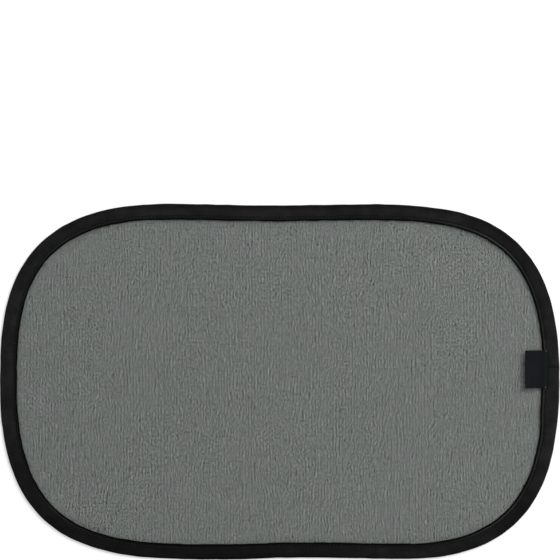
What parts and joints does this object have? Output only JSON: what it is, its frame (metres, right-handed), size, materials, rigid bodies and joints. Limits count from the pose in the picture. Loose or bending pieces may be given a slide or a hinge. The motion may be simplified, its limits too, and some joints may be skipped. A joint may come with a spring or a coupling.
{
  "type": "car side window sunshade",
  "caption": "Rounded mesh sunshade for a car's side window, held taut by a spring hoop in a stitched edge binding, with a clear film behind that clings to the glass.",
  "frame": {"origin": "centre of the shade's bounding box at its back face, the face that lies against the window glass", "axes": "+X along the length, towards the end with the label; +Y up as it hangs on the window; +Z out of the front face, into the car"},
  "size_m": [0.48, 0.3052, 0.0049],
  "materials": {
    "mesh_knit": "matte black polyester knit, seen as mid grey where light shows through",
    "clear_film": "clear and smooth",
    "binding_tape": "matte black woven tape",
    "spring_steel": "drawn",
    "label_cloth": "matte woven satin, bare"
  },
  "bodies": {
    "root": {"mesh_panel": "mesh_knit", "cling_film": "clear_film", "edge_binding": "binding_tape", "spring_hoop": "spring_steel", "hoop_sleeve": "spring_steel", "label": "label_cloth"}
  },
  "joints": []
}
